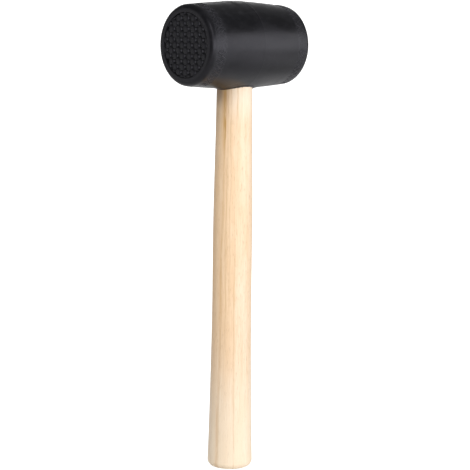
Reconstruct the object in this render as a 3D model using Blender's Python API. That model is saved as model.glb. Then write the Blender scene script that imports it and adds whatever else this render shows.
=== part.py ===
"""Rubber mallet: a barrel-shaped moulded rubber head on a turned wooden handle.

The mallet stands upright on the butt of its handle. The origin is the centre of the
butt's flat end, +Z runs up the handle to the head, and the head's own axis runs along X,
so its two striking faces look towards -X and +X. All sizes are in metres.

The eye in the head is blind: it opens only downwards, and the crown above it is closed.
The handle's tenon is glued into it, so nothing on the mallet moves.
"""
import math

import bmesh
import bpy
from mathutils import Matrix

# Driving dimensions of the whole mallet
OVERALL_LENGTH = 0.330
HEAD_LENGTH = 0.0928
HEAD_MID_DIAMETER = 0.0606
HEAD_END_DIAMETER = 0.0550
BARREL_POWER = 1.5
HEAD_EDGE_RADIUS = 0.0035

# Striking faces: a sunk round field of raised diamonds inside a plain ring
FIELD_RADIUS = 0.0222
FIELD_SINK = 0.0004
DIAMOND_PITCH = 0.00515
DIAMOND_HEIGHT = 0.0008
GROOVE_WIDTH = 0.0017

# Raised bead left by the mould's parting line round the middle of the barrel
PARTING_BEAD_HEIGHT = 0.0002
PARTING_BEAD_WIDTH = 0.0009

# Eye, and the lip of rubber that hugs the handle at its mouth
EYE_MOUTH_RADIUS = 0.0127
EYE_END_RADIUS = 0.0123
CROWN_THICKNESS = 0.012
LIP_HEIGHT = 0.0008
LIP_RADIUS = 0.0145

# Handle: radius at stations up from the butt, which has a rounded edge
HANDLE_STATIONS = (
    (0.000, 0.0160),
    (0.040, 0.0150),
    (0.110, 0.0139),
    (0.180, 0.0138),
    (0.235, 0.0129),
    (0.276, 0.0124),
)
BUTT_EDGE_RADIUS = 0.0045
SHOULDER_CHAMFER = 0.0005
TENON_ROOT_RADIUS = 0.0116
TENON_END_RADIUS = 0.0112

# Glue line in the eye, and the gap kept between touching pieces
GLUE_THICKNESS = 0.0005
GAP = 0.0003

# Fineness of the turned shapes
HEAD_SEGMENTS = 64
HANDLE_SEGMENTS = 48
GLUE_SEGMENTS = 40
BARREL_RINGS = 9
EDGE_STEPS = 4
HANDLE_RINGS = 18

# Points closer than this are one point
MERGE_DISTANCE = 1e-7

# Heights worked out from the driving dimensions
HEAD_HALF = HEAD_LENGTH / 2
HEAD_MID_RADIUS = HEAD_MID_DIAMETER / 2
HEAD_AXIS_Z = OVERALL_LENGTH - HEAD_MID_RADIUS
SHOULDER_Z = HANDLE_STATIONS[-1][0]
EYE_END_Z = OVERALL_LENGTH - CROWN_THICKNESS
EYE_MOUTH_Z = HEAD_AXIS_Z - HEAD_MID_RADIUS
GLUE_END_Z = EYE_END_Z - GAP
TENON_END_Z = GLUE_END_Z - GLUE_THICKNESS - GAP


def clear_scene():
    """Remove whatever the file opened with."""
    for obj in list(bpy.data.objects):
        bpy.data.objects.remove(obj, do_unlink=True)


def principled(name, colour, roughness, metallic=0.0):
    """One Principled BSDF material."""
    material = bpy.data.materials.new(name)
    material.use_nodes = True
    shader = material.node_tree.nodes["Principled BSDF"]
    shader.inputs["Base Color"].default_value = (*colour, 1.0)
    shader.inputs["Roughness"].default_value = roughness
    shader.inputs["Metallic"].default_value = metallic
    return material


def object_from(name, mesh_builder, material=None):
    """Link the bmesh as a new object."""
    mesh = bpy.data.meshes.new(name)
    mesh_builder.to_mesh(mesh)
    mesh_builder.free()
    obj = bpy.data.objects.new(name, mesh)
    bpy.context.collection.objects.link(obj)
    if material is not None:
        mesh.materials.append(material)
    return obj


def turned(profile, segments):
    """Spin a profile of (radius, height) points round Z; it starts and ends on the axis."""
    bm = bmesh.new()
    points = [bm.verts.new((radius, 0.0, height)) for radius, height in profile]
    edges = [bm.edges.new(pair) for pair in zip(points, points[1:])]
    bmesh.ops.spin(bm, geom=points + edges, cent=(0, 0, 0), axis=(0, 0, 1),
                   angle=math.tau, steps=segments, use_merge=True)
    bmesh.ops.remove_doubles(bm, verts=bm.verts, dist=MERGE_DISTANCE)
    bmesh.ops.recalc_face_normals(bm, faces=bm.faces)
    return bm


def smooth_shading(obj, crease_degrees=35.0):
    """Shade round surfaces smooth and keep real edges crisp."""
    obj.data.shade_smooth()
    obj.data.set_sharp_from_angle(angle=math.radians(crease_degrees))


def as_cutter(obj):
    """Mark a helper body that only shapes other bodies."""
    obj.hide_render = True
    obj.display_type = "WIRE"
    return obj


def boolean(obj, tool, operation):
    """Combine obj with tool, keeping the modifier live."""
    modifier = obj.modifiers.new(f"{operation.lower()} {tool.name}", "BOOLEAN")
    modifier.operation = operation
    modifier.solver = "EXACT"
    modifier.object = as_cutter(tool)


# ---------------------------------------------------------------- head

def barrel_radius(along):
    """Radius of the barrel at a distance along its axis from the middle."""
    swell = (HEAD_MID_DIAMETER - HEAD_END_DIAMETER) / 2
    return HEAD_MID_RADIUS - swell * (abs(along) / HEAD_HALF) ** BARREL_POWER


def edge_arc(radius_offset=0.0):
    """(radius, along) points round the edge from the barrel to the striking face."""
    start = HEAD_HALF - HEAD_EDGE_RADIUS
    inner = barrel_radius(start) - HEAD_EDGE_RADIUS
    reach = HEAD_EDGE_RADIUS + radius_offset
    angles = [math.pi / 2 * step / EDGE_STEPS for step in range(EDGE_STEPS + 1)]
    return [(inner + reach * math.cos(a), start + reach * math.sin(a)) for a in angles]


def barrel_half(radius_offset=0.0):
    """(radius, along) points from beside the parting line out to one face's centre."""
    last = HEAD_HALF - HEAD_EDGE_RADIUS
    first = PARTING_BEAD_WIDTH / 2
    steps = [first + (last - first) * step / BARREL_RINGS for step in range(BARREL_RINGS)]
    body = [(barrel_radius(x) + radius_offset, x) for x in steps]
    arc = edge_arc(radius_offset)
    return body + arc + [(0.0, arc[-1][1])]


def barrel_body(name, radius_offset=0.0, bead_height=0.0):
    """The whole barrel, turned round Z and then laid along X at its height."""
    half = barrel_half(radius_offset)
    bead = [(HEAD_MID_RADIUS + radius_offset + bead_height, 0.0)]
    mirrored = [(radius, -along) for radius, along in reversed(half)]
    bm = turned(mirrored + bead + half, HEAD_SEGMENTS)
    place = Matrix.Translation((0, 0, HEAD_AXIS_Z)) @ Matrix.Rotation(math.pi / 2, 4, "Y")
    bm.transform(place)
    return object_from(name, bm)


def lip_body():
    """Lip at the eye's mouth: a short post that ends just proud of the barrel's skin."""
    bm = bmesh.new()
    height = HEAD_MID_RADIUS
    bmesh.ops.create_cone(bm, cap_ends=True, segments=HEAD_SEGMENTS, radius1=LIP_RADIUS,
                          radius2=LIP_RADIUS, depth=height)
    bm.transform(Matrix.Translation((0, 0, EYE_MOUTH_Z + LIP_HEIGHT)))
    post = object_from("lip_post", bm)
    boolean(post, barrel_body("lip_skin", radius_offset=LIP_HEIGHT), "INTERSECT")
    return post


def eye_cutter():
    """Tapered blind eye, cut from below the head up to the closed crown."""
    start = EYE_MOUTH_Z - 0.01
    depth = EYE_END_Z - start
    bm = bmesh.new()
    bmesh.ops.create_cone(bm, cap_ends=True, segments=HANDLE_SEGMENTS,
                          radius1=EYE_MOUTH_RADIUS, radius2=EYE_END_RADIUS, depth=depth)
    bm.transform(Matrix.Translation((0, 0, start + depth / 2)))
    return object_from("eye_cutter", bm)


def diamond_sheet(cells):
    """Square sheet of sunk pyramids in the XY plane, closed into a slab above it.

    Subtracting the slab from a flat end leaves one raised diamond for each cell, with
    V grooves between them.
    """
    bm = bmesh.new()
    size = cells * DIAMOND_PITCH
    bmesh.ops.create_grid(bm, x_segments=cells, y_segments=cells, size=size / 2)
    for vert in bm.verts:
        vert.co.z = -DIAMOND_HEIGHT
    bmesh.ops.inset_individual(bm, faces=bm.faces[:], thickness=GROOVE_WIDTH / 2,
                               depth=DIAMOND_HEIGHT, use_even_offset=True)
    rim = [edge for edge in bm.edges if edge.is_boundary]
    raised = bmesh.ops.extrude_edge_only(bm, edges=rim)["geom"]
    for vert in (item for item in raised if isinstance(item, bmesh.types.BMVert)):
        vert.co.z = 4 * DIAMOND_HEIGHT
    bmesh.ops.holes_fill(bm, edges=[edge for edge in bm.edges if edge.is_boundary])
    bmesh.ops.recalc_face_normals(bm, faces=bm.faces)
    return bm


def field_cutter(name, side):
    """Cutter for one striking face: side is -1 for the -X face and +1 for the +X face."""
    cells = 2 * math.ceil(FIELD_RADIUS * math.sqrt(2) / DIAMOND_PITCH)
    place = (Matrix.Translation((side * (HEAD_HALF - FIELD_SINK), 0, HEAD_AXIS_Z))
             @ Matrix.Rotation(side * math.pi / 2, 4, "Y")
             @ Matrix.Rotation(math.pi / 4, 4, "Z"))
    sheet_mesh = diamond_sheet(cells)
    sheet_mesh.transform(place)
    sheet = object_from(name, sheet_mesh)
    post_mesh = bmesh.new()
    bmesh.ops.create_cone(post_mesh, cap_ends=True, segments=HEAD_SEGMENTS,
                          radius1=FIELD_RADIUS, radius2=FIELD_RADIUS, depth=0.02)
    off_grid_turn = Matrix.Rotation(math.tau / HEAD_SEGMENTS / 3, 4, "Z")
    post_mesh.transform(place @ off_grid_turn)
    boolean(sheet, object_from(f"{name}_post", post_mesh), "INTERSECT")
    return sheet


def rubber_head():
    """Moulded head: barrel, eye lip, blind eye and two diamond-patterned faces."""
    head = barrel_body("rubber_head", bead_height=PARTING_BEAD_HEIGHT)
    head.data.materials.append(principled("black_rubber", (0.028, 0.028, 0.031), 0.5))
    boolean(head, field_cutter("field_cutter_left", -1), "DIFFERENCE")
    boolean(head, field_cutter("field_cutter_right", 1), "DIFFERENCE")
    boolean(head, lip_body(), "UNION")
    boolean(head, eye_cutter(), "DIFFERENCE")
    smooth_shading(head)
    return head


# ---------------------------------------------------------------- handle

def handle_radius(height):
    """Radius of the grip at a height, on a smooth curve through the stations."""
    stations = HANDLE_STATIONS
    index = 0
    while index < len(stations) - 2 and height > stations[index + 1][0]:
        index += 1

    def slope(at):
        before = stations[max(at - 1, 0)]
        after = stations[min(at + 1, len(stations) - 1)]
        return (after[1] - before[1]) / (after[0] - before[0])

    (z0, r0), (z1, r1) = stations[index], stations[index + 1]
    span = z1 - z0
    t = (height - z0) / span
    return (r0 * (1 + 2 * t) * (1 - t) ** 2 + slope(index) * span * t * (1 - t) ** 2
            + r1 * t * t * (3 - 2 * t) - slope(index + 1) * span * t * t * (1 - t))


def wooden_handle():
    """Turned handle with a rounded butt, a small shoulder and a tapered tenon."""
    edge = BUTT_EDGE_RADIUS
    centre = handle_radius(edge) - edge
    angles = [math.pi / 2 * step / EDGE_STEPS for step in range(EDGE_STEPS + 1)]
    butt = [(centre + edge * math.sin(a), edge - edge * math.cos(a)) for a in angles]
    top = SHOULDER_Z - SHOULDER_CHAMFER
    heights = [edge + (top - edge) * ring / HANDLE_RINGS for ring in range(1, HANDLE_RINGS + 1)]
    grip = [(handle_radius(z), z) for z in heights]
    tenon = [
        (handle_radius(SHOULDER_Z) - SHOULDER_CHAMFER, SHOULDER_Z),
        (TENON_ROOT_RADIUS, SHOULDER_Z),
        (TENON_END_RADIUS, TENON_END_Z - SHOULDER_CHAMFER),
        (TENON_END_RADIUS - SHOULDER_CHAMFER, TENON_END_Z),
    ]
    profile = [(0.0, 0.0)] + butt + grip + tenon + [(0.0, TENON_END_Z)]
    wood = principled("pale_wood", (0.78, 0.62, 0.43), 0.55)
    handle = object_from("wooden_handle", turned(profile, HANDLE_SEGMENTS), wood)
    smooth_shading(handle)
    return handle


# ---------------------------------------------------------------- glue

def eye_glue():
    """Cured glue: a thin cup between the tenon and the blind eye, open downwards."""
    base = SHOULDER_Z + GAP
    inner_root = TENON_ROOT_RADIUS + GAP
    inner_end = TENON_END_RADIUS + GAP
    inner_top = GLUE_END_Z - GLUE_THICKNESS
    profile = [
        (0.0, inner_top),
        (inner_end, inner_top),
        (inner_root, base),
        (inner_root + GLUE_THICKNESS, base),
        (inner_end + GLUE_THICKNESS, GLUE_END_Z),
        (0.0, GLUE_END_Z),
    ]
    glue = principled("amber_glue", (0.55, 0.36, 0.14), 0.35)
    cup = object_from("eye_glue", turned(profile, GLUE_SEGMENTS), glue)
    smooth_shading(cup)
    return cup


def build_mallet():
    """Build every piece of the mallet in place."""
    clear_scene()
    rubber_head()
    wooden_handle()
    eye_glue()


build_mallet()
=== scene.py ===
import math

import bmesh
import bpy
import numpy as np
from mathutils import Matrix, Vector, noise


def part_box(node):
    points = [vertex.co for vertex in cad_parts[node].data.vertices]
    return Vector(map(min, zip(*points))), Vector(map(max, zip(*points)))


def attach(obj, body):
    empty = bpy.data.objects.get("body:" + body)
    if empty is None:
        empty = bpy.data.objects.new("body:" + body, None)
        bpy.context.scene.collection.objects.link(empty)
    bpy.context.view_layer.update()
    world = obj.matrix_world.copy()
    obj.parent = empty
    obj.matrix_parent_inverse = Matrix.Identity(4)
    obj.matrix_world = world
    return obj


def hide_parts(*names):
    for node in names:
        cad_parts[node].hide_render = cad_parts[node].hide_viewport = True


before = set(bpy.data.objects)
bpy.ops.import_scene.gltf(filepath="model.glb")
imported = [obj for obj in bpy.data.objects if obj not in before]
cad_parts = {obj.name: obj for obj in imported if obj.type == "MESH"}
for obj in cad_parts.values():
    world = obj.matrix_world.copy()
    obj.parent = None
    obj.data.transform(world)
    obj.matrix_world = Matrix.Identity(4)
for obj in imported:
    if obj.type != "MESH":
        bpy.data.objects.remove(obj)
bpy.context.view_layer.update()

MM = 0.001
HEAD_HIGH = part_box("rubber_head")[1]
HANDLE_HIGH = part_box("wooden_handle")[1]

# Head: the barrel and its two faces
BEAD_HEIGHT = 0.2 * MM
HEAD_HALF = HEAD_HIGH.x
HEAD_MID_RADIUS = HEAD_HIGH.y - BEAD_HEIGHT
HEAD_AXIS_Z = HEAD_HIGH.z - HEAD_HIGH.y
HEAD_SWELL = 2.8 * MM
BARREL_POWER = 1.5
HEAD_EDGE_RADIUS = 3.5 * MM
HEAD_SEGMENTS = 256
BEAD_WIDTH = 0.45 * MM
SKIN_WAVE_HEIGHT = 0.05 * MM
SKIN_WAVE_LENGTH = 15 * MM
CROWN_STEP = 0.08 * MM
MOULDED_CREASE = 40
FIELD_RADIUS = 22.2 * MM
FIELD_DEPTH = 1.4 * MM
FIELD_MOAT = 0.4 * MM

# Raised diamonds on the striking faces
DIAMOND_PITCH = 5.15 * MM
DIAMOND_WIDTH = 5.10 * MM
DIAMOND_ROWS = 10
DIAMOND_ROOT = 1.2 * MM
DIAMOND_HEIGHT = 0.65 * MM
PIT_DEPTH = 1.00 * MM
PIT_RADIUS = 1.75 * MM
PIT_FLOOR_SHARE = 0.45
DIAMOND_CUTS = 15
DIAMOND_CREASE = 60

# Relief bands round the barrel, just behind each face
BAND_CENTRE = 38.0 * MM
BAND_INNER_FADE = (33.0 * MM, 34.5 * MM)
BAND_OUTER_FADE = (42.0 * MM, 43.0 * MM)
BAND_ARCS = 4
BAND_FIRST_ANGLE = math.radians(38)
BAND_CREASE = 25
LOZENGES_PER_ARC = 8
LOZENGE_PITCH = 4.4 * MM
LOZENGE_LENGTH = 7.6 * MM
LOZENGE_STROKE = 0.9 * MM
LOZENGE_RELIEF = 0.24 * MM

# Eye: its radius at the mouth, and the swelling of the rubber round it
EYE_RADIUS = 12.7 * MM
EYE_END_RADIUS = 12.3 * MM
EYE_TAPER_Z = HEAD_AXIS_Z - 20 * MM
EYE_END_Z = HEAD_AXIS_Z + HEAD_MID_RADIUS - 12 * MM
EYE_SWELL = 0.35 * MM
LIP_HEIGHT = 0.8 * MM
LIP_WIDTH = 1.5 * MM
LIP_FADE = 7.0 * MM

# Handle: radius at stations up from the butt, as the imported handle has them
HANDLE_STATIONS = (
    (0 * MM, 16.0 * MM),
    (40 * MM, 15.0 * MM),
    (110 * MM, 13.9 * MM),
    (180 * MM, 13.8 * MM),
    (235 * MM, 12.9 * MM),
    (276 * MM, 12.4 * MM),
)
BUTT_EDGE_RADIUS = 4.5 * MM
SHOULDER_CHAMFER = 0.5 * MM
TENON_ROOT_RADIUS = 11.6 * MM
TENON_END_RADIUS = 11.2 * MM
HANDLE_SEGMENTS = 128

# Wood: where the tree's heart stands beside the butt and how it leans, the level
# directions of the shaded side (painted warm shade) and of the head's painted shadow,
# and the brown streaks
HEART_X = -34 * MM
HEART_Y = 21 * MM
HEART_LEAN = 0.03
SHADED_SIDE = (-0.97, 0.24)
HEAD_SHADOW_SIDE = (-0.80, 0.60)
STREAK_PIVOT_Z = 240 * MM
STREAK_WAVER = 0.16
# Streaks as angle in degrees, lean in radians per metre, half width in radians, heights
# in millimetres where they start and end their fade, share before it, strength, colour
STREAKS = (
    (-170, 0.45, 0.26, 215, 245, 0.10, 0.40, (0.74, 0.47, 0.20)),
    (-163, 0.55, 0.125, 222, 246, 0.38, 0.95, (0.58, 0.32, 0.10)),
    (-124, 0.20, 0.08, 236, 262, 0.0, 0.60, (0.62, 0.39, 0.17)),
    (-108, -0.25, 0.10, 244, 266, 0.0, 0.30, (0.66, 0.42, 0.20)),
    (-129, -0.30, 0.05, 300, 70, 0.0, 0.42, (0.62, 0.39, 0.20)),
    (-152, 0.10, 0.09, 20, 150, 0.0, 0.48, (0.66, 0.42, 0.21)),
    (-142, -0.15, 0.05, 60, 190, 0.1, 0.44, (0.66, 0.42, 0.21)),
    (35, 0.30, 0.12, 40, 220, 0.2, 0.50, (0.56, 0.34, 0.14)),
)

# Camera
CAMERA_AZIMUTH = math.radians(-43.36)
CAMERA_ELEVATION = math.radians(7.97)
CAMERA_ROLL = math.radians(0.77)
CAMERA_DISTANCE = 1.098
CAMERA_LENS = 119.2
CAMERA_AIM_OFFSET = 1.7 * MM

# Softboxes as name, place, aim, width, height and power in watts. The fills leave no
# highlight of their own.
SOFTBOXES = (
    ("right_box", (0.955, -0.968, 0.49), (0.0, 0.0, 0.49), 0.80, 0.82, 4.8),
    ("edge_box", (-0.65, -0.94, 1.17), (0.0, 0.0, 0.3), 0.65, 0.60, 2.6),
    ("back_left", (-0.98, 1.03, 0.13), (0.0, 0.0, 0.3), 0.80, 0.80, 1.15),
    ("rear_fill", (0.55, 1.25, 1.2), (0.0, 0.0, 0.15), 1.20, 1.20, 7.0),
    ("high_left", (-1.0, -0.7, 1.5), (0.0, 0.0, 0.1), 1.40, 1.40, 19.0),
    ("low_front", (-0.25, -1.5, 0.36), (0.0, 0.0, 0.12), 2.00, 0.60, 14.0),
)
FILLS = ("high_left", "rear_fill")

# How pale the backdrop and the floor look to the camera, and how much light they give to
# the mallet: a dim world, a pool on the floor behind it and a card on its right. Their
# edges are where the glow starts and ends its fade, across and away from the camera.
WORLD_STRENGTH = 0.145
BACKDROP_PALE = 0.92
SWEEP_PALE = 0.86
SWEEP_WHITE = 0.68
POOL_GLOW = 0.30
POOL_WIDENING = -0.16
POOL_SIDE_FADE = (0.18, 0.32)
POOL_NEAR_FADE = (-0.15, 0.20)
CARD_GLOW = 0.60
CARD_LEFT_FADE = (0.34, 0.60)
CARD_RIGHT_FADE = (1.2, 2.0)
CARD_NEAR_FADE = (-0.9, -0.4)
CARD_FAR_FADE = (0.10, 0.45)


# ------------------------------------------------------------------ node helpers

def plug(tree, socket, value):
    """Link an input from another node's socket, or set it to a plain value."""
    if isinstance(value, bpy.types.NodeSocket):
        tree.links.new(value, socket)
    else:
        socket.default_value = value


def add(tree, kind, inputs=None, **settings):
    """Add a node with its settings and inputs."""
    made = tree.nodes.new(kind)
    for name, value in settings.items():
        setattr(made, name, value)
    for key, value in (inputs or {}).items():
        plug(tree, made.inputs[key], value)
    return made


def maths(tree, operation, first, second=0.0, third=0.0):
    """Value of one Math node."""
    inputs = {0: first, 1: second, 2: third}
    return add(tree, "ShaderNodeMath", inputs, operation=operation).outputs[0]


def between(tree, value, low, high, to_low=0.0, to_high=1.0):
    """Value eased from to_low to to_high as it goes from low to high."""
    inputs = {"Value": value, "From Min": low, "From Max": high,
              "To Min": to_low, "To Max": to_high}
    made = add(tree, "ShaderNodeMapRange", inputs, interpolation_type="SMOOTHSTEP")
    return made.outputs["Result"]


def mixed(tree, factor, first, second):
    """Colour that goes from first to second with factor."""
    made = add(tree, "ShaderNodeMix", data_type="RGBA")
    sockets = {socket.identifier: socket for socket in made.inputs}
    plug(tree, sockets["Factor_Float"], factor)
    plug(tree, sockets["A_Color"], first)
    plug(tree, sockets["B_Color"], second)
    return next(socket for socket in made.outputs if socket.identifier == "Result_Color")


def new_group(name, kind, inputs, outputs):
    """Empty node group with named sockets: {name: (socket type, default)}."""
    group = bpy.data.node_groups.new(name, kind)
    for label, (socket_type, default) in inputs.items():
        socket = group.interface.new_socket(label, in_out="INPUT", socket_type=socket_type)
        if default is not None:
            socket.default_value = default
    for label, socket_type in outputs.items():
        group.interface.new_socket(label, in_out="OUTPUT", socket_type=socket_type)
    return group, add(group, "NodeGroupInput").outputs, add(group, "NodeGroupOutput").inputs


def flat_distance(tree, parts, direction):
    """How far a point lies from the Z axis towards a level direction."""
    return maths(tree, "MULTIPLY_ADD", parts["X"], direction[0],
                 maths(tree, "MULTIPLY", parts["Y"], direction[1]))


def colour(red, green, blue):
    """Opaque colour."""
    return (red, green, blue, 1.0)


# ------------------------------------------------------------------ shared shader groups

def mottle_group():
    """Soft uneven patches: a noise stretched along Z, as a mask from 0 to 1."""
    group, given, result = new_group(
        "mottle", "ShaderNodeTree",
        {"Vector": ("NodeSocketVector", None), "Size": ("NodeSocketFloat", 0.01),
         "Stretch": ("NodeSocketFloat", 1.0), "Detail": ("NodeSocketFloat", 2.0),
         "Low": ("NodeSocketFloat", 0.35), "High": ("NodeSocketFloat", 0.65)},
        {"Mask": "NodeSocketFloat"})
    scale = maths(group, "DIVIDE", 1.0, given["Size"])
    along = maths(group, "DIVIDE", scale, given["Stretch"])
    scales = add(group, "ShaderNodeCombineXYZ", {"X": scale, "Y": scale, "Z": along})
    placed = add(group, "ShaderNodeVectorMath",
                 {0: given["Vector"], 1: scales.outputs[0]}, operation="MULTIPLY")
    pattern = add(group, "ShaderNodeTexNoise",
                  {"Vector": placed.outputs[0], "Scale": 1.0, "Detail": given["Detail"]})
    mask = between(group, pattern.outputs[0], given["Low"], given["High"])
    group.links.new(mask, result["Mask"])
    return group


def mottled(tree, mottle, vector, size, low, high, detail=3.0, stretch=1.0):
    """Mask of the mottle group placed in a material or in another group."""
    inputs = {"Vector": vector, "Size": size, "Stretch": stretch, "Detail": detail,
              "Low": low, "High": high}
    return add(tree, "ShaderNodeGroup", inputs, node_tree=mottle).outputs["Mask"]


def new_material(name):
    """Material with a Principled BSDF; returns it, its tree, the shader and the position."""
    material = bpy.data.materials.new(name)
    material.use_nodes = True
    tree = material.node_tree
    shader = tree.nodes["Principled BSDF"]
    position = add(tree, "ShaderNodeTexCoord").outputs["Object"]
    return material, tree, shader, position


def rubber_material(mottle):
    """Moulded black rubber: soft sheen, faint bloom, fine grain, stippled bands with a painted
    sheen, dust and a painted highlight on top.
    """
    material, tree, shader, position = new_material("black_rubber")
    bloom = mottled(tree, mottle, position, 16 * MM, low=0.38, high=0.66)
    smear = mottled(tree, mottle, position, 4 * MM, low=0.45, high=0.75, detail=4.0)
    grain = mottled(tree, mottle, position, 0.45 * MM, low=0.2, high=0.8, detail=2.0)
    stipple = mottled(tree, mottle, position, 0.9 * MM, low=0.3, high=0.7, detail=1.0)
    parts = add(tree, "ShaderNodeSeparateXYZ", {0: position}).outputs
    along = maths(tree, "ABSOLUTE", parts["X"])
    in_band = maths(tree, "MULTIPLY", between(tree, along, *BAND_INNER_FADE),
                    between(tree, along, *BAND_OUTER_FADE, 1.0, 0.0))
    # The bands' stipple is a bump, and it also carries a painted sheen in the colour
    stipple_and_sheen = maths(tree, "MULTIPLY", in_band, stipple)
    black = mixed(tree, bloom, colour(0.0035, 0.0035, 0.0042), colour(0.0065, 0.0065, 0.0078))
    dusty = mixed(tree, maths(tree, "MULTIPLY", smear, 0.35), black,
                  colour(0.013, 0.013, 0.0145))
    # Dust and a painted highlight lighten the skin where it faces up
    normal = add(tree, "ShaderNodeNewGeometry").outputs["Normal"]
    upright = add(tree, "ShaderNodeSeparateXYZ", {0: normal}).outputs["Z"]
    dust_and_highlight_share = maths(tree, "MULTIPLY", between(tree, upright, 0.55, 0.98),
                    maths(tree, "MULTIPLY_ADD", smear, 0.5, 0.15))
    dust_and_highlight = mixed(tree, dust_and_highlight_share, dusty, colour(0.026, 0.026, 0.029))
    # Painted sheen: the stippled bands are lighter in colour where their bumps would catch light
    band_sheen_painted = mixed(tree, stipple_and_sheen, dust_and_highlight, colour(0.019, 0.019, 0.022))
    tree.links.new(band_sheen_painted, shader.inputs["Base Color"])
    sheen_patch = maths(tree, "MULTIPLY_ADD", bloom, 0.07, 0.30)
    roughness = maths(tree, "MULTIPLY_ADD", smear, 0.05, sheen_patch)
    tree.links.new(roughness, shader.inputs["Roughness"])
    height = maths(tree, "MULTIPLY_ADD", stipple_and_sheen, 3.0,
                   maths(tree, "MULTIPLY_ADD", smear, 0.6, grain))
    bump = add(tree, "ShaderNodeBump", {"Height": height, "Strength": 0.3,
                                        "Distance": 0.03 * MM})
    tree.links.new(bump.outputs[0], shader.inputs["Normal"])
    shader.inputs["IOR"].default_value = 1.5
    shader.inputs["Specular IOR Level"].default_value = 0.36
    shader.inputs["Specular Tint"].default_value = colour(0.90, 0.88, 1.0)
    return material


def streak_group(mottle):
    """Mineral streak up a turned handle: a wavering line at one angle round it."""
    group, given, result = new_group(
        "mineral_streak", "ShaderNodeTree",
        {"Vector": ("NodeSocketVector", None), "Angle": ("NodeSocketFloat", 0.0),
         "Lean": ("NodeSocketFloat", 0.0), "Half Width": ("NodeSocketFloat", 0.08),
         "Fade Start": ("NodeSocketFloat", 0.05), "Fade End": ("NodeSocketFloat", 0.25),
         "Floor": ("NodeSocketFloat", 0.0)},
        {"Mask": "NodeSocketFloat"})
    parts = add(group, "ShaderNodeSeparateXYZ", {0: given["Vector"]}).outputs
    side = maths(group, "ARCTAN2", parts["Y"], parts["X"])
    lean = maths(group, "MULTIPLY", maths(group, "SUBTRACT", parts["Z"], STREAK_PIVOT_Z),
                 given["Lean"])
    waver = mottled(group, mottle, given["Vector"], 4 * MM, low=0.0, high=1.0, stretch=7.0)
    centre = maths(group, "ADD", maths(group, "ADD", given["Angle"], lean),
                   maths(group, "MULTIPLY_ADD", waver, STREAK_WAVER, -STREAK_WAVER / 2))
    off_line = maths(group, "ABSOLUTE", maths(group, "SUBTRACT", side, centre))
    across = between(group, off_line, 0.0, given["Half Width"], 1.0, 0.0)
    along = between(group, parts["Z"], given["Fade Start"], given["Fade End"],
                    given["Floor"], 1.0)
    breaks = mottled(group, mottle, given["Vector"], 1.5 * MM, low=0.20, high=0.55,
                     stretch=9.0)
    mask = maths(group, "MULTIPLY", maths(group, "MULTIPLY", across, along), breaks)
    group.links.new(mask, result["Mask"])
    return group


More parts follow.
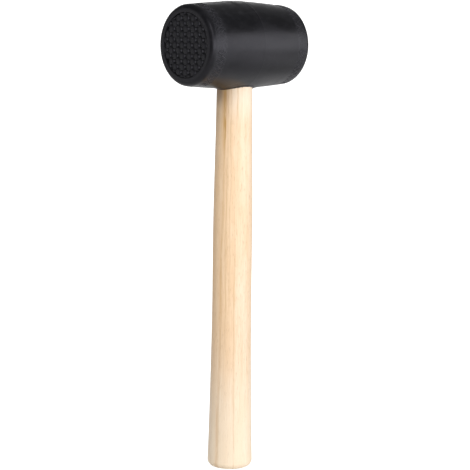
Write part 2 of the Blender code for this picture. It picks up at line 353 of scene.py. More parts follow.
def wood_material(mottle):
    """Pale straight-grained hardwood, turned and sealed: bands, fibres, pores, streaks."""
    material, tree, shader, position = new_material("pale_wood")
    parts = add(tree, "ShaderNodeSeparateXYZ", {0: position}).outputs

    # The tree's heart lies outside the handle and leans a little, so the growth bands
    # cross the turned surface as long lines that slowly converge.
    wander = mottled(tree, mottle, position, 9 * MM, low=0.0, high=1.0, stretch=6.0)
    lean = maths(tree, "MULTIPLY", parts["Z"], HEART_LEAN)
    from_heart_x = maths(tree, "ADD", maths(tree, "SUBTRACT", parts["X"], HEART_X), lean)
    from_heart_y = maths(tree, "SUBTRACT", parts["Y"], HEART_Y)
    squares = maths(tree, "MULTIPLY_ADD", from_heart_y, from_heart_y,
                    maths(tree, "MULTIPLY", from_heart_x, from_heart_x))
    radius = maths(tree, "ADD", maths(tree, "SQRT", squares),
                   maths(tree, "MULTIPLY", wander, 3 * MM))
    band_place = add(tree, "ShaderNodeCombineXYZ", {
        "X": radius, "Y": 0.0, "Z": maths(tree, "MULTIPLY", parts["Z"], 0.01)}).outputs[0]
    bands = mottled(tree, mottle, band_place, 2.4 * MM, low=0.42, high=0.68, detail=2.0)
    lines = mottled(tree, mottle, band_place, 0.55 * MM, low=0.50, high=0.75, detail=2.0)

    tone = mottled(tree, mottle, position, 9 * MM, low=0.3, high=0.7, stretch=7.0)
    fibre = mottled(tree, mottle, position, 0.65 * MM, low=0.36, high=0.70, stretch=16.0)
    pores = mottled(tree, mottle, position, 0.5 * MM, low=0.60, high=0.72, detail=1.0,
                    stretch=9.0)

    cream = mixed(tree, tone, colour(0.86, 0.635, 0.430), colour(0.90, 0.730, 0.560))
    banded = mixed(tree, maths(tree, "MULTIPLY", bands, 0.28), cream,
                   colour(0.80, 0.53, 0.30))
    lined = mixed(tree, maths(tree, "MULTIPLY", lines, 0.34), banded,
                  colour(0.66, 0.42, 0.22))
    combed = mixed(tree, maths(tree, "MULTIPLY", fibre, 0.40), lined,
                   colour(0.74, 0.50, 0.29))
    pored = mixed(tree, maths(tree, "MULTIPLY", pores, 0.36), combed,
                  colour(0.46, 0.28, 0.14))

    # Paler towards the butt, and warmer on the shaded side: a painted warm shade
    height = parts["Z"]
    near_butt = between(tree, height, 100 * MM, 10 * MM, 0.0, 0.55)
    paled = mixed(tree, near_butt, pored, colour(0.93, 0.82, 0.65))
    shaded_side_share = between(tree, flat_distance(tree, parts, SHADED_SIDE), 2 * MM, 11 * MM)
    above_grip = between(tree, height, 40 * MM, 140 * MM, 0.0, 0.36)
    warm_shade_painted = mixed(tree, maths(tree, "MULTIPLY", shaded_side_share, above_grip), paled,
                   colour(0.86, 0.57, 0.29))
    # Just under the head a painted shadow darkens one side, and painted light lightens the
    # head's shadow on the other
    to_head_shadow = flat_distance(tree, parts, HEAD_SHADOW_SIDE)
    painted_light_share = maths(tree, "MULTIPLY", between(tree, to_head_shadow, 7 * MM, 1 * MM),
                        between(tree, height, 240 * MM, 264 * MM, 0.0, 0.60))
    head_shadow_lightened = mixed(tree, painted_light_share, warm_shade_painted, colour(0.95, 0.80, 0.64))
    painted_shadow_share = maths(tree, "MULTIPLY", between(tree, to_head_shadow, 3 * MM, 11 * MM),
                      between(tree, height, 255 * MM, 268 * MM, 0.0, 0.66))
    shaded_and_streaked = mixed(tree, painted_shadow_share, head_shadow_lightened, colour(0.29, 0.17, 0.10))
    streak = streak_group(mottle)
    for degrees, lean_rate, half_width, fade_start, fade_end, floor, strength, brown in STREAKS:
        mask = add(tree, "ShaderNodeGroup", {
            "Vector": position, "Angle": math.radians(degrees), "Lean": lean_rate,
            "Half Width": half_width, "Fade Start": fade_start * MM,
            "Fade End": fade_end * MM, "Floor": floor}, node_tree=streak).outputs["Mask"]
        share = maths(tree, "MULTIPLY", mask, strength)
        shaded_and_streaked = mixed(tree, share, shaded_and_streaked, colour(*brown))
    tree.links.new(shaded_and_streaked, shader.inputs["Base Color"])

    roughness = maths(tree, "MULTIPLY_ADD", pores, 0.2,
                      maths(tree, "MULTIPLY_ADD", fibre, 0.08, 0.42))
    tree.links.new(roughness, shader.inputs["Roughness"])
    raised = maths(tree, "SUBTRACT", maths(tree, "MULTIPLY", fibre, 0.35),
                   maths(tree, "MULTIPLY", pores, 0.9))
    bump = add(tree, "ShaderNodeBump", {"Height": raised, "Strength": 0.35,
                                        "Distance": 0.05 * MM})
    tree.links.new(bump.outputs[0], shader.inputs["Normal"])
    shader.inputs["IOR"].default_value = 1.45
    return material


def glue_material(mottle):
    """Cured amber glue, a little cloudy."""
    material, tree, shader, position = new_material("amber_glue")
    cloud = mottled(tree, mottle, position, 3 * MM, low=0.35, high=0.7)
    amber = mixed(tree, cloud, colour(0.46, 0.27, 0.09), colour(0.62, 0.44, 0.20))
    tree.links.new(amber, shader.inputs["Base Color"])
    tree.links.new(maths(tree, "MULTIPLY_ADD", cloud, 0.2, 0.25), shader.inputs["Roughness"])
    bump = add(tree, "ShaderNodeBump", {"Height": cloud, "Strength": 0.3,
                                        "Distance": 0.1 * MM})
    tree.links.new(bump.outputs[0], shader.inputs["Normal"])
    return material


# ------------------------------------------------------------------ head

def smoothstep(low, high, value):
    """Eased 0 to 1 as value goes from low to high, for numbers and arrays."""
    t = np.clip((value - low) / (high - low), 0.0, 1.0)
    return t * t * (3 - 2 * t)


def barrel_radius(along):
    """Radius of the barrel at a distance along its axis from the middle."""
    return HEAD_MID_RADIUS - HEAD_SWELL * (np.abs(along) / HEAD_HALF) ** BARREL_POWER


def face_profile():
    """(along, radius) from the barrel's end over the rounded edge to near the face's centre.

    The plain ring ends in a softened edge and a wall that eases into the sunk floor.
    """
    start = HEAD_HALF - HEAD_EDGE_RADIUS
    inner = barrel_radius(start) - HEAD_EDGE_RADIUS
    arc = [(start + HEAD_EDGE_RADIUS * math.sin(a), inner + HEAD_EDGE_RADIUS * math.cos(a))
           for a in np.linspace(0, math.pi / 2, 11)]
    ring = [(HEAD_HALF, FIELD_RADIUS + step) for step in (1.4 * MM, 0.7 * MM, 0.15 * MM)]
    wall = [(HEAD_HALF - drop, FIELD_RADIUS - inset) for drop, inset in
            ((0.05 * MM, 0.0), (0.3 * MM, 0.12 * MM), (0.9 * MM, 0.18 * MM),
             (FIELD_DEPTH, 0.45 * MM))]
    floor = [(HEAD_HALF - FIELD_DEPTH, FIELD_RADIUS * share) for share in (0.9, 0.6, 0.3, 0.1)]
    return arc + ring + wall + floor


def half_profile():
    """(along, radius) from just beside the barrel's middle to near one face's centre."""
    near_bead = np.arange(0.15, 0.9, 0.15) * MM
    over_eye = np.arange(1.0, 22.0, 0.5) * MM
    outer = np.linspace(22.0 * MM, HEAD_HALF - HEAD_EDGE_RADIUS, 19)[:-1]
    barrel = [(x, barrel_radius(x)) for x in np.concatenate([near_bead, over_eye, outer])]
    return barrel + face_profile()


def skin_relief(along, turn):
    """Height of the moulded skin above the plain barrel, at an angle down from the crown."""
    across = barrel_radius(along) * np.sin(turn)
    upright = np.cos(turn)
    uneven = np.array([noise.noise(Vector((x, y, z)) / SKIN_WAVE_LENGTH) for x, y, z in
                       zip(along, across, barrel_radius(along) * upright)])
    skin = SKIN_WAVE_HEIGHT * uneven
    # The bead along the parting line is plainest at the crown and all but gone below
    bead = BEAD_HEIGHT * (0.12 + 0.5 * smoothstep(0.1, 0.95, upright))
    skin += bead * np.exp(-(along / BEAD_WIDTH) ** 2)
    # The mould half on the -X side stands a little proud at the crown
    step = smoothstep(5.5 * MM, 4.0 * MM, along) * smoothstep(-13 * MM, -8 * MM, along)
    droop = HEAD_MID_RADIUS - barrel_radius(along)
    skin += step * smoothstep(0.86, 0.985, upright) * (droop + CROWN_STEP)
    # The rubber swells round the eye and ends in a lip that hugs the handle
    reach = np.hypot(along, across) - EYE_RADIUS
    swell = EYE_SWELL * smoothstep(LIP_FADE, 0.0, reach)
    lip = (LIP_HEIGHT - EYE_SWELL) * smoothstep(LIP_WIDTH, 0.5 * LIP_WIDTH, reach)
    return skin + np.where(upright < 0, swell + lip, 0.0)


def head_skin():
    """Closed skin of the whole moulding as rings of points round the X axis."""
    half = half_profile()
    middle = [(0.0, barrel_radius(0.0))]
    rings = [(-x, r) for x, r in reversed(half)] + middle + half
    turns = np.arange(HEAD_SEGMENTS) * math.tau / HEAD_SEGMENTS
    on_barrel = HEAD_HALF - HEAD_EDGE_RADIUS
    points = []
    for along, radius in rings:
        reliefs = skin_relief(np.full(HEAD_SEGMENTS, along), turns)
        weight = float(smoothstep(HEAD_HALF, on_barrel - 2 * MM, abs(along)))
        reach = radius + weight * reliefs
        points += zip(np.full(HEAD_SEGMENTS, along), -reach * np.sin(turns),
                      HEAD_AXIS_Z + reach * np.cos(turns))
    bm = bmesh.new()
    verts = [bm.verts.new(point) for point in points]
    grid = [verts[i:i + HEAD_SEGMENTS] for i in range(0, len(verts), HEAD_SEGMENTS)]
    for ring, following in zip(grid, grid[1:]):
        for j in range(HEAD_SEGMENTS):
            k = (j + 1) % HEAD_SEGMENTS
            bm.faces.new((ring[j], ring[k], following[k], following[j]))
    for ring in (grid[0], grid[-1]):
        along = ring[0].co.x
        pole = bm.verts.new((along, 0.0, HEAD_AXIS_Z))
        for j in range(HEAD_SEGMENTS):
            bm.faces.new((pole, ring[j], ring[(j + 1) % HEAD_SEGMENTS]))
    return bm


def open_eye(bm):
    """Open the blind eye in the underside: snap a clean rim, then draw its wall upwards."""
    def reach(co):
        return math.hypot(co.x, co.y)

    def under(face):
        middle = face.calc_center_median()
        return middle.z < HEAD_AXIS_Z and reach(middle) < EYE_RADIUS

    bmesh.ops.delete(bm, geom=[face for face in bm.faces if under(face)], context="FACES")
    rim = [edge for edge in bm.edges if edge.is_boundary]
    for vert in {vert for edge in rim for vert in edge.verts}:
        grow = EYE_RADIUS / reach(vert.co)
        vert.co.x *= grow
        vert.co.y *= grow
    for height, radius in ((EYE_TAPER_Z, EYE_RADIUS), (EYE_END_Z, EYE_END_RADIUS)):
        raised = bmesh.ops.extrude_edge_only(bm, edges=rim)["geom"]
        rim = [item for item in raised if isinstance(item, bmesh.types.BMEdge)]
        for vert in (item for item in raised if isinstance(item, bmesh.types.BMVert)):
            grow = radius / reach(vert.co)
            vert.co = (vert.co.x * grow, vert.co.y * grow, height)
    bmesh.ops.holes_fill(bm, edges=rim)


def finish_piece(name, bm, material):
    """Turn a bmesh into a piece, with its faces outward and smooth."""
    bmesh.ops.recalc_face_normals(bm, faces=bm.faces)
    mesh = bpy.data.meshes.new(name)
    bm.to_mesh(mesh)
    bm.free()
    return finish_mesh(name, mesh, material, MOULDED_CREASE)


def finish_mesh(name, mesh, material, crease_degrees):
    """Link a mesh as a piece of one material, smooth but for edges sharper than the crease."""
    mesh.name = name
    mesh.materials.clear()
    mesh.materials.append(material)
    mesh.shade_smooth()
    mesh.set_sharp_from_angle(angle=math.radians(crease_degrees))
    piece = bpy.data.objects.new(name, mesh)
    bpy.context.collection.objects.link(piece)
    return piece


def rubber_skin(rubber):
    """The moulding itself: barrel, rounded edges, sunk faces, eye and lip."""
    bm = head_skin()
    open_eye(bm)
    return finish_piece("head_moulding", bm, rubber)


# ------------------------------------------------------------------ repeated relief

def grown(name, group, values):
    """Run a geometry node tree on its own and return its result as a plain mesh."""
    carrier = bpy.data.objects.new(name, bpy.data.meshes.new(name))
    bpy.context.collection.objects.link(carrier)
    modifier = carrier.modifiers.new(name, "NODES")
    modifier.node_group = group
    for item in group.interface.items_tree:
        if item.in_out == "INPUT" and item.name in values:
            modifier[item.identifier] = values[item.name]
    graph = bpy.context.evaluated_depsgraph_get()
    mesh = bpy.data.meshes.new_from_object(carrier.evaluated_get(graph))
    carrier.modifiers.remove(modifier)
    bpy.data.objects.remove(carrier)
    return mesh


def diamond_tree():
    """Grid of pillowed diamonds, clipped to a round field that lies in the XY plane."""
    tree, given, result = new_group(
        "diamond_field", "GeometryNodeTree",
        {"Rows": ("NodeSocketInt", 10), "Pitch": ("NodeSocketFloat", 5 * MM),
         "Diamond Width": ("NodeSocketFloat", 4.8 * MM),
         "Diamond Height": ("NodeSocketFloat", 1.0 * MM),
         "Root Depth": ("NodeSocketFloat", 0.6 * MM),
         "Pit Depth": ("NodeSocketFloat", 0.7 * MM),
         "Pit Radius": ("NodeSocketFloat", 1.0 * MM),
         "Field Radius": ("NodeSocketFloat", 22 * MM),
         "Material": ("NodeSocketMaterial", None)},
        {"Geometry": "NodeSocketGeometry"})
    rows = given["Rows"]
    gaps = maths(tree, "SUBTRACT", rows, 1.0)
    side = maths(tree, "MULTIPLY", gaps, given["Pitch"])
    grid = add(tree, "GeometryNodeMeshGrid", {"Size X": side, "Size Y": side,
                                              "Vertices X": rows, "Vertices Y": rows})
    spot = add(tree, "GeometryNodeInputPosition").outputs[0]
    out = add(tree, "ShaderNodeVectorMath", {0: spot}, operation="LENGTH").outputs["Value"]
    limit = maths(tree, "MULTIPLY_ADD", given["Pitch"], 0.3, given["Field Radius"])
    outside = maths(tree, "GREATER_THAN", out, limit)
    kept = add(tree, "GeometryNodeDeleteGeometry",
               {"Geometry": grid.outputs["Mesh"], "Selection": outside}, domain="POINT")
    studs = add(tree, "GeometryNodeInstanceOnPoints",
                {"Points": kept.outputs[0], "Instance": pillow(tree, given, spot)})
    field = add(tree, "GeometryNodeMeshCylinder",
                {"Vertices": 192, "Radius": given["Field Radius"], "Depth": 10 * MM})
    clipped = add(tree, "GeometryNodeMeshBoolean", operation="INTERSECT", solver="EXACT")
    real = add(tree, "GeometryNodeRealizeInstances", {0: studs.outputs[0]})
    tree.links.new(real.outputs[0], clipped.inputs["Mesh 2"])
    tree.links.new(field.outputs["Mesh"], clipped.inputs["Mesh 2"])
    whole = add(tree, "GeometryNodeRealizeInstances", {0: clipped.outputs["Mesh"]})
    painted = add(tree, "GeometryNodeSetMaterial",
                  {"Geometry": whole.outputs[0], "Material": given["Material"]})
    tree.links.new(painted.outputs[0], result["Geometry"])
    return tree


def pillow(tree, given, spot):
    """One diamond: a square block with a pillowed top and a quarter of a pit at each corner."""
    size = add(tree, "ShaderNodeCombineXYZ", {
        "X": given["Diamond Width"], "Y": given["Diamond Width"],
        "Z": given["Root Depth"]}).outputs[0]
    block = add(tree, "GeometryNodeMeshCube", {
        "Size": size, "Vertices X": DIAMOND_CUTS, "Vertices Y": DIAMOND_CUTS})
    parts = add(tree, "ShaderNodeSeparateXYZ", {0: spot}).outputs
    half = maths(tree, "MULTIPLY", given["Diamond Width"], 0.5)
    # Points gather towards the sides, where the top falls fastest
    eased = [maths(tree, "SINE", maths(tree, "MULTIPLY", maths(
        tree, "DIVIDE", parts[axis], half), math.pi / 2)) for axis in "XY"]
    shares = [maths(tree, "ABSOLUTE", share) for share in eased]
    falls = [maths(tree, "MULTIPLY_ADD", maths(tree, "POWER", share, 3.0), -0.6, 1.0)
             for share in shares]
    swell = maths(tree, "MULTIPLY", maths(tree, "MULTIPLY", *falls), given["Diamond Height"])
    gaps = [maths(tree, "MULTIPLY", maths(tree, "SUBTRACT", 1.0, share), half)
            for share in shares]
    to_corner = maths(tree, "SQRT", maths(tree, "MULTIPLY_ADD", gaps[0], gaps[0],
                                          maths(tree, "MULTIPLY", gaps[1], gaps[1])))
    pit = between(tree, to_corner, maths(tree, "MULTIPLY", given["Pit Radius"],
                                              PIT_FLOOR_SHARE),
                  given["Pit Radius"], 1.0, 0.0)
    top = maths(tree, "SUBTRACT", swell, maths(tree, "MULTIPLY", pit, given["Pit Depth"]))
    on_top = maths(tree, "GREATER_THAN", parts["Z"], 0.0)
    rise = maths(tree, "MULTIPLY", top, on_top)
    shaped = add(tree, "ShaderNodeCombineXYZ", {
        "X": maths(tree, "MULTIPLY", eased[0], half),
        "Y": maths(tree, "MULTIPLY", eased[1], half),
        "Z": maths(tree, "ADD", parts["Z"], rise)}).outputs[0]
    cushion = add(tree, "GeometryNodeSetPosition",
                  {"Geometry": block.outputs["Mesh"], "Position": shaped}).outputs[0]
    # Flat triangles are cut cleanly, where a warped face would leave thin fins
    return add(tree, "GeometryNodeTriangulate", {"Mesh": cushion}).outputs[0]


def face_diamonds(name, side, tree, rubber):
    """Raised diamonds of one striking face; side is -1 for -X and +1 for +X."""
    mesh = grown(name, tree, {
        "Rows": DIAMOND_ROWS, "Pitch": DIAMOND_PITCH, "Diamond Width": DIAMOND_WIDTH,
        "Diamond Height": DIAMOND_HEIGHT, "Root Depth": DIAMOND_ROOT,
        "Pit Depth": PIT_DEPTH, "Pit Radius": PIT_RADIUS,
        "Field Radius": FIELD_RADIUS - FIELD_MOAT, "Material": rubber})
    floor = HEAD_HALF - FIELD_DEPTH
    mesh.transform(Matrix.Translation((side * floor, 0, HEAD_AXIS_Z))
                   @ Matrix.Rotation(side * math.pi / 2, 4, "Y")
                   @ Matrix.Rotation(math.pi / 4, 4, "Z"))
    return finish_mesh(name, mesh, rubber, DIAMOND_CREASE)


def band_tree():
    """Arcs of lozenge rings with a stud in each and pips between, wrapped round the barrel."""
    tree, given, result = new_group(
        "lozenge_band", "GeometryNodeTree",
        {"Arcs": ("NodeSocketInt", 4), "Lozenges": ("NodeSocketInt", 8),
         "Pitch": ("NodeSocketFloat", 4 * MM), "First Angle": ("NodeSocketFloat", 0.9),
         "Length": ("NodeSocketFloat", 7 * MM), "Stroke": ("NodeSocketFloat", 0.8 * MM),
         "Relief": ("NodeSocketFloat", 0.3 * MM), "Band Centre": ("NodeSocketFloat", 0.038),
         "Mid Radius": ("NodeSocketFloat", 0.03), "Swell": ("NodeSocketFloat", 0.003),
         "Half Length": ("NodeSocketFloat", 0.046), "Power": ("NodeSocketFloat", 1.5),
         "Material": ("NodeSocketMaterial", None)},
        {"Geometry": "NodeSocketGeometry"})
    total = maths(tree, "MULTIPLY", given["Arcs"], given["Lozenges"])
    row = add(tree, "GeometryNodeMeshLine", {"Count": total, "Offset": (0, 0, 0)})
    index = add(tree, "GeometryNodeInputIndex").outputs[0]
    arc = maths(tree, "FLOOR", maths(tree, "DIVIDE", index, given["Lozenges"]))
    place = maths(tree, "MODULO", index, given["Lozenges"])
    centre = maths(tree, "DIVIDE", maths(tree, "SUBTRACT", given["Lozenges"], 1.0), 2.0)
    steps = maths(tree, "MULTIPLY", maths(tree, "SUBTRACT", place, centre), given["Pitch"])
    arc_angle = maths(tree, "MULTIPLY_ADD", arc,
                      maths(tree, "DIVIDE", math.tau, given["Arcs"]), given["First Angle"])
    run = maths(tree, "MULTIPLY_ADD", arc_angle, given["Mid Radius"], steps)
    laid = add(tree, "GeometryNodeSetPosition", {
        "Geometry": row.outputs[0],
        "Position": add(tree, "ShaderNodeCombineXYZ", {"X": run}).outputs[0]}).outputs[0]

    join = add(tree, "GeometryNodeJoinGeometry")
    for body in [lozenge_ring(tree, given)] + lozenge_studs(tree, given):
        copies = add(tree, "GeometryNodeInstanceOnPoints", {"Points": laid, "Instance": body})
        tree.links.new(copies.outputs[0], join.inputs[0])
    real = add(tree, "GeometryNodeRealizeInstances", {0: join.outputs[0]}).outputs[0]
    painted = add(tree, "GeometryNodeSetMaterial", {
        "Geometry": wrapped(tree, given, real), "Material": given["Material"]})
    tree.links.new(painted.outputs[0], result["Geometry"])
    return tree


def lozenge_ring(tree, given):
    """One raised lozenge outline of rounded section, sunk to half its depth in the skin."""
    tall = maths(tree, "SUBTRACT", given["Length"], given["Stroke"])
    wide = maths(tree, "SUBTRACT", given["Pitch"], maths(tree, "MULTIPLY",
                                                         given["Stroke"], 0.4))
    outline = add(tree, "GeometryNodeCurvePrimitiveQuadrilateral",
                  {"Width": wide, "Height": tall}, mode="RECTANGLE")
    spot = add(tree, "GeometryNodeInputPosition").outputs[0]
    parts = add(tree, "ShaderNodeSeparateXYZ", {0: spot}).outputs
    # A rectangle's corners move to the middles of its sides, which makes a lozenge
    right = maths(tree, "SIGN", parts["X"])
    upper = maths(tree, "SIGN", parts["Y"])
    same = maths(tree, "MULTIPLY", right, upper)
    along_x = maths(tree, "MULTIPLY", maths(tree, "GREATER_THAN", same, 0.0), parts["X"])
    along_y = maths(tree, "MULTIPLY", maths(tree, "LESS_THAN", same, 0.0), parts["Y"])
    corner = add(tree, "ShaderNodeCombineXYZ", {"X": along_x, "Y": along_y}).outputs[0]
    lozenge = add(tree, "GeometryNodeSetPosition",
                  {"Geometry": outline.outputs[0], "Position": corner}).outputs[0]
    section = add(tree, "GeometryNodeCurvePrimitiveCircle", {
        "Resolution": 8, "Radius": maths(tree, "MULTIPLY", given["Stroke"], 0.5)})
    tube = add(tree, "GeometryNodeCurveToMesh",
               {"Curve": lozenge, "Profile Curve": section.outputs[0]}).outputs[0]
    flat = maths(tree, "DIVIDE", maths(tree, "MULTIPLY", given["Relief"], 2.0),
                 given["Stroke"])
    scale = add(tree, "ShaderNodeCombineXYZ", {"X": 1.0, "Y": 1.0, "Z": flat}).outputs[0]
    return add(tree, "GeometryNodeTransform", {"Geometry": tube, "Scale": scale}).outputs[0]


def lozenge_studs(tree, given):
    """The stud in a lozenge's middle and the two pips beside its waist."""
    waist = maths(tree, "MULTIPLY", given["Pitch"], 0.5)
    outer = maths(tree, "MULTIPLY", given["Length"], 0.34)
    bodies = []
    for sides, share, at_x, side in ((4, 0.85, 0.0, 0.0), (8, 0.55, waist, 1.0),
                                     (8, 0.55, waist, -1.0)):
        stud = add(tree, "GeometryNodeMeshCone", {
            "Vertices": sides, "Radius Top": 0.55, "Radius Bottom": 1.0, "Depth": 2.0})
        reach = maths(tree, "MULTIPLY", given["Stroke"], share)
        size = add(tree, "ShaderNodeCombineXYZ", {
            "X": reach, "Y": maths(tree, "MULTIPLY", reach, 1.3), "Z": given["Relief"]})
        sunk = maths(tree, "MULTIPLY", given["Relief"], -1.0)
        offset = add(tree, "ShaderNodeCombineXYZ", {
            "X": at_x, "Y": maths(tree, "MULTIPLY", outer, side), "Z": sunk})
        bodies.append(add(tree, "GeometryNodeTransform", {
            "Geometry": stud.outputs["Mesh"], "Translation": offset.outputs[0],
            "Scale": size.outputs[0]}).outputs[0])
    return bodies


def wrapped(tree, given, flat):
    """Bend flat relief round the barrel: X runs round it, Y along it and Z outwards."""
    spot = add(tree, "GeometryNodeInputPosition").outputs[0]
    parts = add(tree, "ShaderNodeSeparateXYZ", {0: spot}).outputs
    angle = maths(tree, "DIVIDE", parts["X"], given["Mid Radius"])
    along = maths(tree, "ADD", parts["Y"], given["Band Centre"])
    share = maths(tree, "DIVIDE", maths(tree, "ABSOLUTE", along), given["Half Length"])
    drop = maths(tree, "MULTIPLY", maths(tree, "POWER", share, given["Power"]),
                 given["Swell"])
    radius = maths(tree, "ADD", maths(tree, "SUBTRACT", given["Mid Radius"], drop),
                   parts["Z"])
    placed = add(tree, "ShaderNodeCombineXYZ", {
        "X": along,
        "Y": maths(tree, "MULTIPLY", radius, maths(tree, "MULTIPLY",
                   maths(tree, "SINE", angle), -1.0)),
        "Z": maths(tree, "MULTIPLY", radius, maths(tree, "COSINE", angle))}).outputs[0]
    return add(tree, "GeometryNodeSetPosition",
               {"Geometry": flat, "Position": placed}).outputs[0]


def relief_band(name, side, tree, rubber):
    """Relief band behind one striking face; side is -1 for -X and +1 for +X."""
    mesh = grown(name, tree, {
        "Arcs": BAND_ARCS, "Lozenges": LOZENGES_PER_ARC, "Pitch": LOZENGE_PITCH,
        "First Angle": BAND_FIRST_ANGLE, "Length": LOZENGE_LENGTH,
        "Stroke": LOZENGE_STROKE, "Relief": LOZENGE_RELIEF,
        "Band Centre": side * BAND_CENTRE,
        "Mid Radius": HEAD_MID_RADIUS, "Swell": HEAD_SWELL, "Half Length": HEAD_HALF,
        "Power": BARREL_POWER, "Material": rubber})
    mesh.transform(Matrix.Translation((0, 0, HEAD_AXIS_Z)))
    return finish_mesh(name, mesh, rubber, BAND_CREASE)


# ------------------------------------------------------------------ handle

def handle_radius(height):
    """Radius of the grip at a height, on a smooth curve through the stations."""
    stations = HANDLE_STATIONS
    index = 0
    while index < len(stations) - 2 and height > stations[index + 1][0]:
        index += 1

    def slope(at):
        before = stations[max(at - 1, 0)]
        after = stations[min(at + 1, len(stations) - 1)]
        return (after[1] - before[1]) / (after[0] - before[0])

    (z0, r0), (z1, r1) = stations[index], stations[index + 1]
    span = z1 - z0
    t = (height - z0) / span
    return (r0 * (1 + 2 * t) * (1 - t) ** 2 + slope(index) * span * t * (1 - t) ** 2
            + r1 * t * t * (3 - 2 * t) - slope(index + 1) * span * t * t * (1 - t))


def handle_profile():
    """(radius, height) up the handle from the butt's centre to the tenon's end."""
    edge = BUTT_EDGE_RADIUS
    centre = handle_radius(edge) - edge
    butt = [(centre * share, 0.0) for share in (0.0, 0.35, 0.7)]
    butt += [(centre + edge * math.sin(a), edge - edge * math.cos(a))
             for a in np.linspace(0, math.pi / 2, 13)]
    shoulder = HANDLE_STATIONS[-1][0]
    top = shoulder - SHOULDER_CHAMFER
    grip = [(handle_radius(z), z) for z in np.linspace(edge, top, 130)[1:]]
    tenon_end = HANDLE_HIGH.z
    tenon = [
        (handle_radius(shoulder) - SHOULDER_CHAMFER, shoulder),
        (TENON_ROOT_RADIUS, shoulder),
        (TENON_END_RADIUS, tenon_end - SHOULDER_CHAMFER),
        (TENON_END_RADIUS - SHOULDER_CHAMFER, tenon_end),
        (0.0, tenon_end),
    ]
    return butt + grip + tenon


def turned_handle(wood):
    """Turned handle, spun from its profile."""
    bm = bmesh.new()
    points = [bm.verts.new((radius, 0.0, height)) for radius, height in handle_profile()]
    edges = [bm.edges.new(pair) for pair in zip(points, points[1:])]
    bmesh.ops.spin(bm, geom=points + edges, cent=(0, 0, 0), axis=(0, 0, 1),
                   angle=math.tau, steps=HANDLE_SEGMENTS, use_merge=True)
    bmesh.ops.remove_doubles(bm, verts=bm.verts, dist=1e-7)
    return finish_piece("handle_turning", bm, wood)


# ------------------------------------------------------------------ stage

def sweep_paint():
    """Evenly pale paint, with two soft pools of light that only the mallet sees."""
    material, tree, shader, position = new_material("sweep_paint")
    turned = add(tree, "ShaderNodeMapping",
                 {"Vector": position, "Rotation": (0.0, 0.0, -CAMERA_AZIMUTH)})
    parts = add(tree, "ShaderNodeSeparateXYZ", {0: turned.outputs[0]}).outputs
    # The pool widens from the mallet's foot to the wall
    aside = maths(tree, "MULTIPLY_ADD", parts["Y"], POOL_WIDENING,
                  maths(tree, "ABSOLUTE", parts["X"]))
    pool = maths(tree, "MULTIPLY", between(tree, aside, *POOL_SIDE_FADE, 1.0, 0.0),
                 between(tree, parts["Y"], *POOL_NEAR_FADE))
    card_across = maths(tree, "MULTIPLY", between(tree, parts["X"], *CARD_LEFT_FADE),
                        between(tree, parts["X"], *CARD_RIGHT_FADE, 1.0, 0.0))
    card_deep = maths(tree, "MULTIPLY", between(tree, parts["Y"], *CARD_NEAR_FADE),
                      between(tree, parts["Y"], *CARD_FAR_FADE, 1.0, 0.0))
    card = maths(tree, "MULTIPLY", card_across, card_deep)
    glow = maths(tree, "MULTIPLY_ADD", card, CARD_GLOW,
                 maths(tree, "MULTIPLY", pool, POOL_GLOW))
    seen = add(tree, "ShaderNodeLightPath").outputs["Is Camera Ray"]
    level = maths(tree, "ADD", maths(tree, "MULTIPLY", seen, SWEEP_PALE),
                  maths(tree, "MULTIPLY", maths(tree, "SUBTRACT", 1.0, seen), glow))
    emitted = add(tree, "ShaderNodeCombineColor", {0: level, 1: level, 2: level}).outputs[0]
    tree.links.new(emitted, shader.inputs["Emission Color"])
    shader.inputs["Emission Strength"].default_value = 1.0
    white = colour(SWEEP_WHITE, SWEEP_WHITE, SWEEP_WHITE)
    shader.inputs["Base Color"].default_value = white
    shader.inputs["Roughness"].default_value = 0.9
    shader.inputs["Specular IOR Level"].default_value = 0.0
    return material


def sweep():
    """Pale studio sweep: a floor that curves up into a wall behind the mallet."""
    half_width = 3.0
    near = -3.0
    far = 1.5
    bend = 0.6
    height = 1.1
    outline = [(near, 0.0), (far - bend, 0.0)]
    outline += [(far - bend + bend * math.sin(a), bend - bend * math.cos(a))
                for a in np.linspace(0, math.pi / 2, 17)[1:]]
    outline.append((far, height))
    bm = bmesh.new()
    left, right = ([bm.verts.new((side, y, z)) for y, z in outline]
                   for side in (-half_width, half_width))
    for k in range(len(outline) - 1):
        bm.faces.new((left[k], right[k], right[k + 1], left[k + 1]))
    bm.transform(Matrix.Rotation(CAMERA_AZIMUTH, 4, "Z"))
    mesh = bpy.data.meshes.new("studio_sweep")
    bm.to_mesh(mesh)
    bm.free()
    mesh.materials.append(sweep_paint())
    mesh.shade_smooth()
    floor = bpy.data.objects.new("studio_sweep", mesh)
    bpy.context.collection.objects.link(floor)


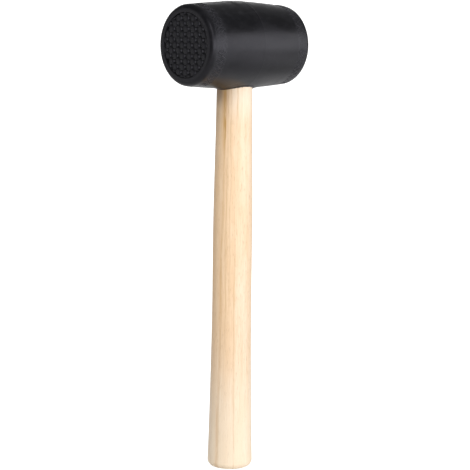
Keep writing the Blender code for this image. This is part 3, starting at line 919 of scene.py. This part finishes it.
def lights():
    """Soft studio light: softboxes, and a dim world that looks pale to the camera."""
    for name, place, aim, width, height, power in SOFTBOXES:
        light = bpy.data.lights.new(name, "AREA")
        light.shape = "RECTANGLE"
        light.size = width
        light.size_y = height
        light.energy = power
        box = bpy.data.objects.new(name, light)
        box.location = place
        facing = Vector(aim) - Vector(place)
        box.rotation_euler = facing.to_track_quat("-Z", "Y").to_euler()
        box.visible_glossy = name not in FILLS
        box.visible_camera = False
        bpy.context.collection.objects.link(box)
    world = bpy.data.worlds.new("studio")
    world.use_nodes = True
    tree = world.node_tree
    backdrop = tree.nodes["Background"]
    backdrop.inputs["Color"].default_value = colour(1, 1, 1)
    seen = add(tree, "ShaderNodeLightPath").outputs["Is Camera Ray"]
    strength = between(tree, seen, 0.0, 1.0, WORLD_STRENGTH, BACKDROP_PALE)
    tree.links.new(strength, backdrop.inputs["Strength"])
    bpy.context.scene.world = world
    bpy.context.scene.view_settings.view_transform = "Standard"


def camera():
    """Camera level with the head, to the left of the front, aimed at the mallet's middle."""
    sin_a, cos_a = math.sin(CAMERA_AZIMUTH), math.cos(CAMERA_AZIMUTH)
    sin_e, cos_e = math.sin(CAMERA_ELEVATION), math.cos(CAMERA_ELEVATION)
    back = Vector((sin_a * cos_e, -cos_a * cos_e, sin_e))
    right = Vector((cos_a, sin_a, 0.0))
    up = back.cross(right)
    middle = Vector((0.0, 0.0, (HEAD_AXIS_Z + HEAD_MID_RADIUS) / 2))
    place = middle + back * CAMERA_DISTANCE
    axes = Matrix((right, up, back)).transposed()
    look = axes @ Matrix.Rotation(CAMERA_ROLL, 3, "Z")
    aim = middle + (look.col[0] + look.col[1]) * CAMERA_AIM_OFFSET
    turn = look.col[2].rotation_difference(place - aim).to_matrix()
    data = bpy.data.cameras.new("camera")
    data.lens = CAMERA_LENS
    obj = bpy.data.objects.new("camera", data)
    obj.matrix_world = Matrix.Translation(place) @ (turn @ look).to_4x4()
    bpy.context.collection.objects.link(obj)
    bpy.context.scene.camera = obj


# ------------------------------------------------------------------ assembly

def stand_for(piece, node):
    """Say what a new piece rides on and replaces."""
    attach(piece, "root")
    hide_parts(node)


def build():
    """Make every visible piece, the stage, the lights and the camera."""
    camera()
    lights()
    sweep()
    mottle = mottle_group()
    rubber = rubber_material(mottle)
    wood = wood_material(mottle)
    diamonds = diamond_tree()
    lozenges = band_tree()
    head_pieces = [
        rubber_skin(rubber),
        face_diamonds("left_face_diamonds", -1, diamonds, rubber),
        face_diamonds("right_face_diamonds", 1, diamonds, rubber),
        relief_band("left_relief_band", -1, lozenges, rubber),
        relief_band("right_relief_band", 1, lozenges, rubber),
    ]
    for piece in head_pieces:
        stand_for(piece, "rubber_head")
    stand_for(turned_handle(wood), "wooden_handle")
    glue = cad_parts["eye_glue"]
    glue.data.materials.clear()
    glue.data.materials.append(glue_material(mottle))


build()
